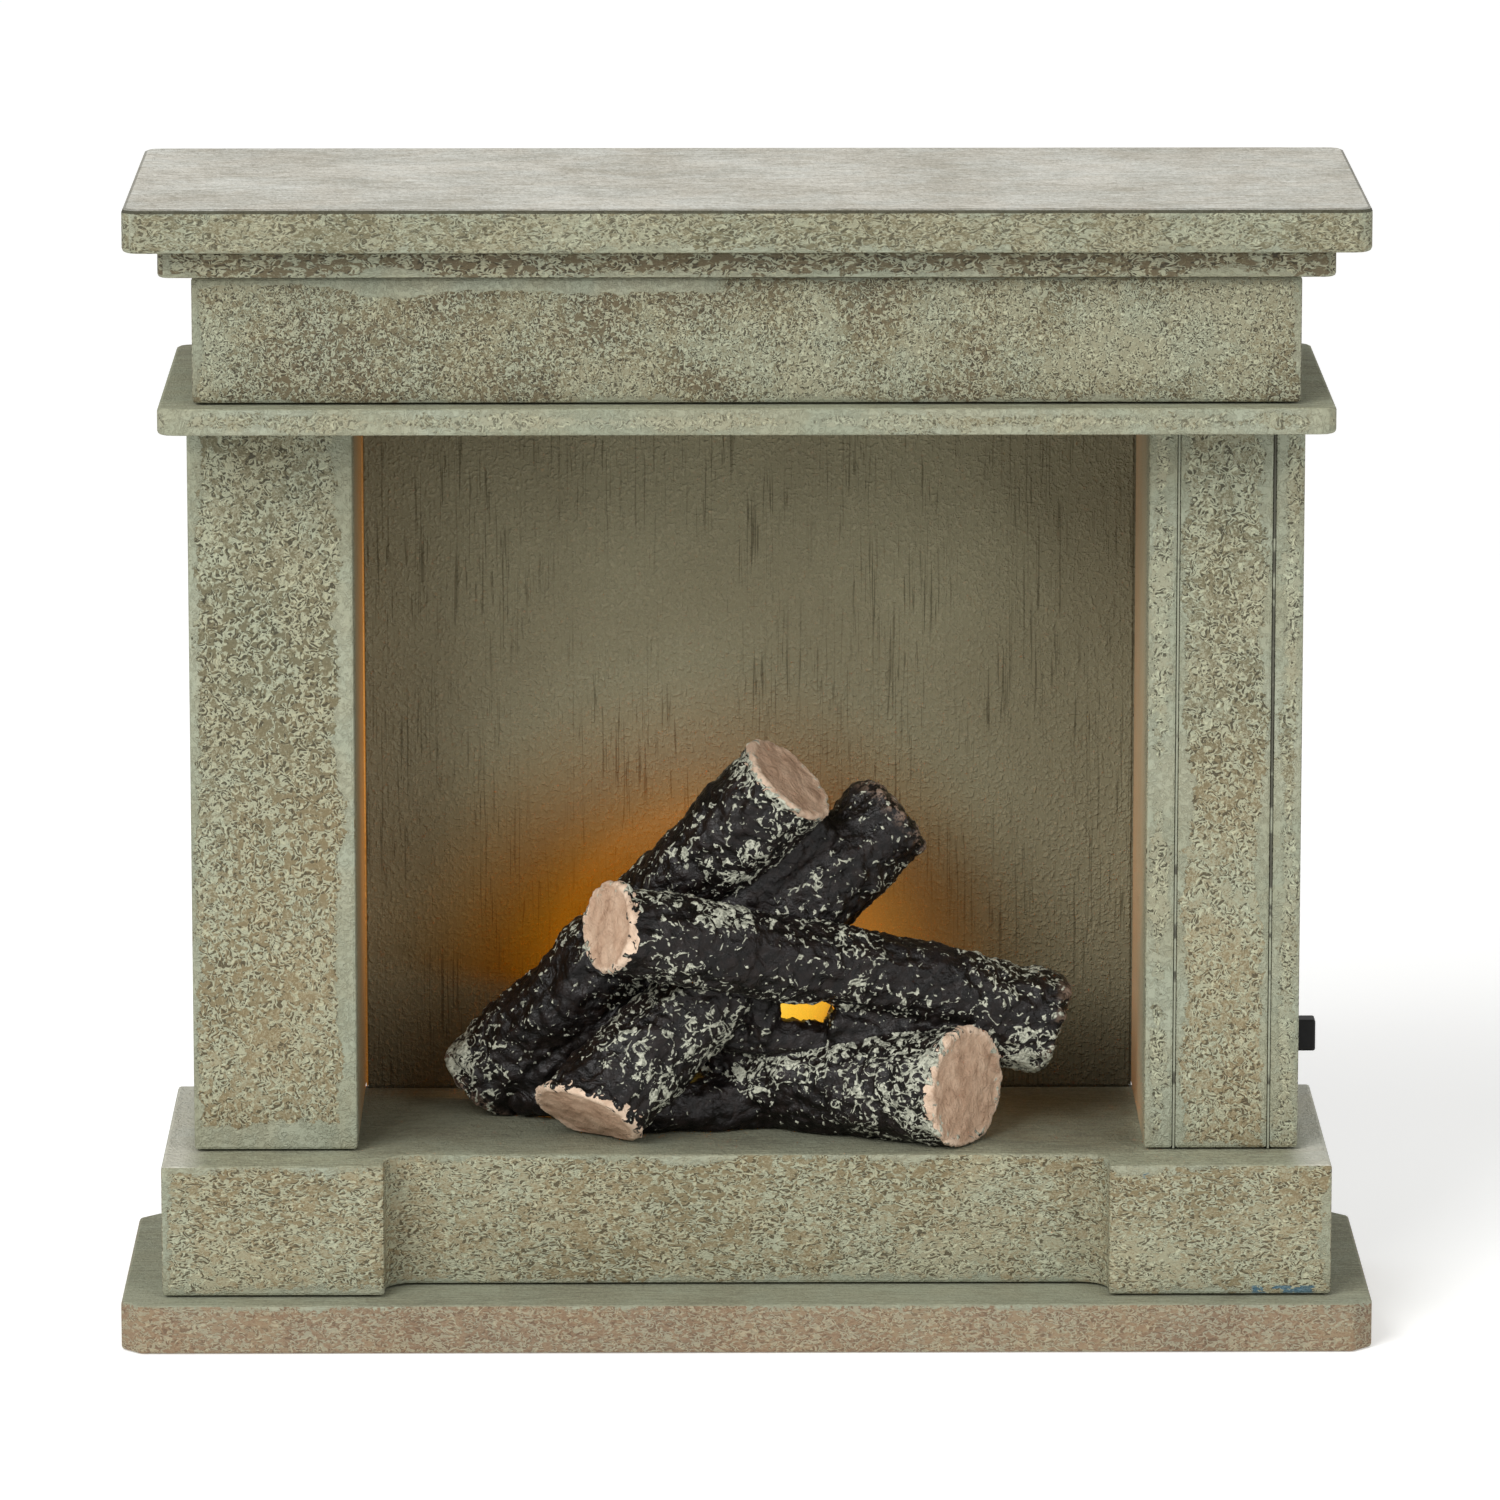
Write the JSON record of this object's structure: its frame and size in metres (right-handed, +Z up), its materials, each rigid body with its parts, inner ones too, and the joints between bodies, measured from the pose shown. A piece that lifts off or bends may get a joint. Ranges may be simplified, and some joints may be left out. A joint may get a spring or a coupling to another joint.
{
  "type": "miniature fireplace mantel",
  "caption": "Painted fibreboard fireplace surround for a dolls' house, with a cast log pile lit from behind by a battery lamp, a side slide switch and a rear battery cover.",
  "frame": {"origin": "bottom centre of the bounding box, on the surface it stands on", "axes": "+X to the viewer's right along the mantel, +Y towards the back, +Z up"},
  "size_m": [0.175, 0.0616, 0.1624],
  "materials": {
    "sage_mdf": "sage green paint rubbed thin over fibreboard, matt",
    "base_mdf": "sage green paint on top, bare reddish fibreboard edges, matt",
    "firebox_paint": "dark sage paint with upright brush strokes, matt",
    "log_resin": "cast resin painted as black bark with pale flecks and beige sawn ends",
    "amber_epoxy": "tinted clear epoxy, lit",
    "tinned_wire": "tinned wire",
    "resistor_lacquer": "lacquered body",
    "red_pvc": "soft insulation",
    "black_pvc": "soft insulation",
    "black_knob": "moulded, glossy",
    "switch_housing": "moulded",
    "switch_steel": "stamped plate",
    "tray_plastic": "moulded, fine texture",
    "cell_sleeve": "plain printed sleeve on a steel can",
    "nickel": "nickel plated",
    "zinc_screw": "zinc plated"
  },
  "bodies": {
    "mantel": {"back_panel": "firebox_paint", "base_board": "base_mdf", "battery_lower": "cell_sleeve", "battery_tray": "tray_plastic", "battery_upper": "cell_sleeve", "bed_moulding": "sage_mdf", "contact_plate": "nickel", "contact_spring": "nickel", "frieze_block": "sage_mdf", "led_anode_leg": "tinned_wire", "led_cathode_leg": "tinned_wire", "led_lens": "amber_epoxy", "led_resistor": "resistor_lacquer", "left_jamb": "sage_mdf", "log_pile": "log_resin", "lower_shelf": "sage_mdf", "mantel_shelf": "sage_mdf", "plinth_block": "sage_mdf", "right_jamb_front_strip": "sage_mdf", "right_jamb_inner_board": "sage_mdf", "right_jamb_outer_board": "sage_mdf", "switch_body": "switch_housing", "switch_flange": "switch_steel", "switch_pin_lower": "tinned_wire", "switch_pin_middle": "tinned_wire", "switch_pin_upper": "tinned_wire", "switch_screw_lower": "zinc_screw", "switch_screw_upper": "zinc_screw", "wire_battery_to_switch": "red_pvc", "wire_lamp_to_battery": "black_pvc", "wire_lamp_to_switch": "red_pvc"},
    "switch_knob": {"switch_knob": "black_knob"},
    "battery_cover": {"battery_cover": "tray_plastic"},
    "cover_screw": {"cover_screw": "zinc_screw"}
  },
  "joints": [
    {"name": "switch_slide", "type": "slide", "parent": "mantel", "child": "switch_knob", "axis": [0, 0, 1], "range_m": [-0.002, 0]},
    {"name": "battery_cover_lift", "type": "slide", "parent": "mantel", "child": "battery_cover", "axis": [0, 1, 0], "range_m": [0, 0.03]},
    {"name": "cover_screw_turn", "type": "hinge", "parent": "battery_cover", "child": "cover_screw", "pos_m": [0.0667, 0.0307, 0.12645], "axis": [0, 1, 0], "continuous": true}
  ]
}
